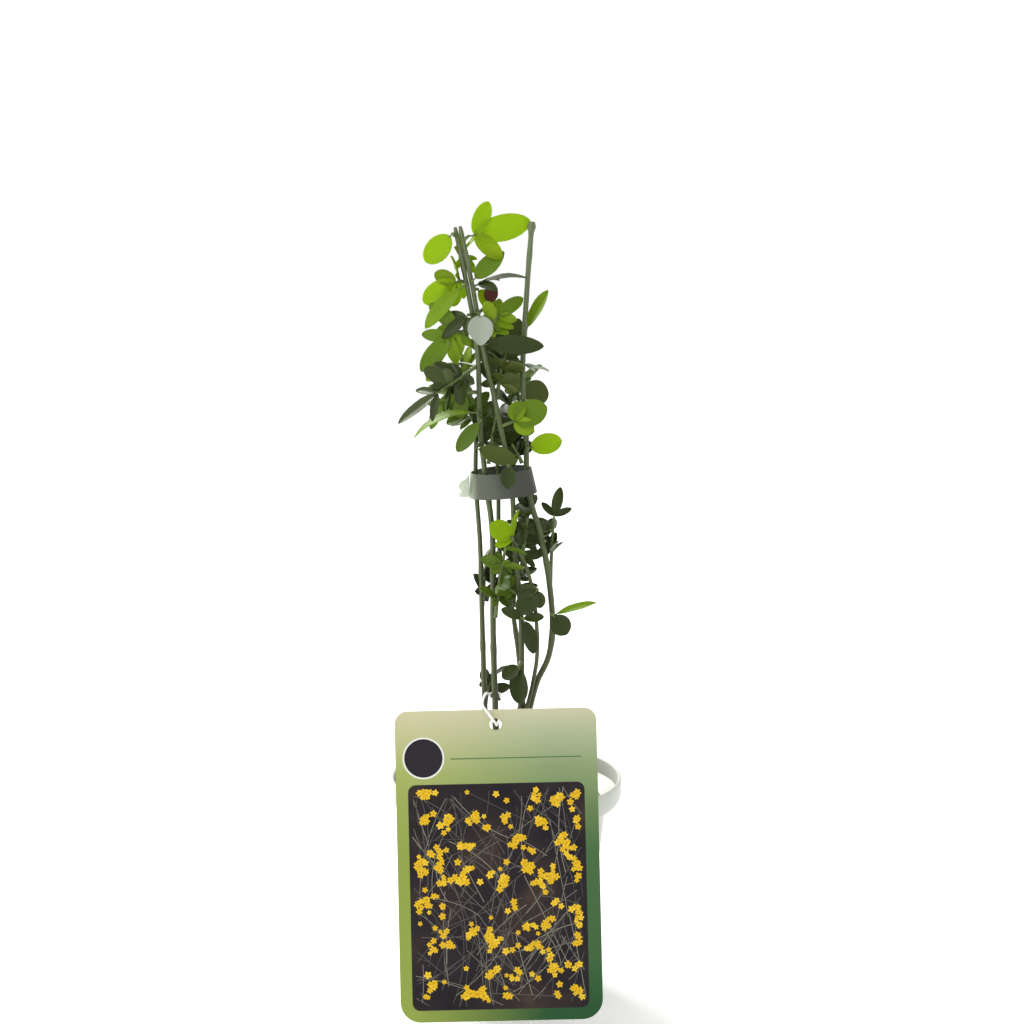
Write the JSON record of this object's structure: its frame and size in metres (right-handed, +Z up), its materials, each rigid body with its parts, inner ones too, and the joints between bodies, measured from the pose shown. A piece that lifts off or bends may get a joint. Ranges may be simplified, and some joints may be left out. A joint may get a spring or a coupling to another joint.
{
  "type": "potted winter jasmine",
  "caption": "Young winter jasmine in a round nursery pot, its stems gathered by a band of tape, with a hang label on the pot's rim.",
  "frame": {"origin": "centre of the pot's flat underside", "axes": "+Z up along the stems, -Y the front where the label leans, +X to the right seen from the front"},
  "size_m": [0.094, 0.1144, 0.3238],
  "materials": {
    "pot": "pale stone-grey moulded plastic, faintly translucent, smooth",
    "compost": "moist dark compost, crumbly",
    "wood": "brown knobbly bark",
    "stem": "green ribbed bark",
    "tape": "soft translucent grey-green tape",
    "label": "printed plastic card, beige to green with a picture panel",
    "strap": "thin white plastic",
    "lime": "bright lime leaves, back-lit",
    "fresh": "fresh green leaves",
    "mid": "green leaves",
    "olive": "olive leaves",
    "dark": "dark green leaves with a silvery sheen",
    "silver": "leaves that shine silvery",
    "brown": "brownish leaf"
  },
  "bodies": {
    "root": {"pot": "pot", "compost": "compost", "woody_foot": "wood", "left_stem": "stem", "middle_stem": "stem", "right_stem": "stem", "front_stem": "stem", "back_stem": "stem", "back_left_stem": "stem", "tie": "tape", "tape_tail": "tape", "label": "label", "label_strap": "strap", "top_spray": "lime", "top_left_leaf": "lime", "crown_pair": "fresh", "core_bright": "lime", "silver_arch": "dark", "left_tuft": "lime", "long_curl": "fresh", "brown_leaf": "brown", "dark_fan": "dark", "silver_shield": "silver", "centre_tuft": "fresh", "right_fold": "fresh", "olive_bar": "dark", "left_blade": "fresh", "left_spray": "dark", "left_cluster": "fresh", "low_left_arch": "fresh", "low_left_hang": "mid", "low_left_oval": "mid", "right_disc": "olive", "right_fan": "fresh", "right_needle": "silver", "right_leaf": "lime", "tie_leaf": "olive", "inner_leaf": "olive", "tie_point": "dark", "low_tip": "lime", "right_riser": "dark", "low_oval": "dark", "mid_pair": "dark", "low_right_pair": "fresh", "low_pair": "dark", "low_side": "mid", "foot_pair": "dark", "core_riser": "dark", "heart_riser": "olive", "heart_low": "dark", "collar_tuft": "dark", "low_heart": "dark", "low_core": "dark", "low_left": "mid", "back_crown": "mid", "back_top": "lime", "back_left_crown": "mid", "back_right": "mid", "low_back_left": "dark", "foot_back": "dark"}
  },
  "joints": []
}
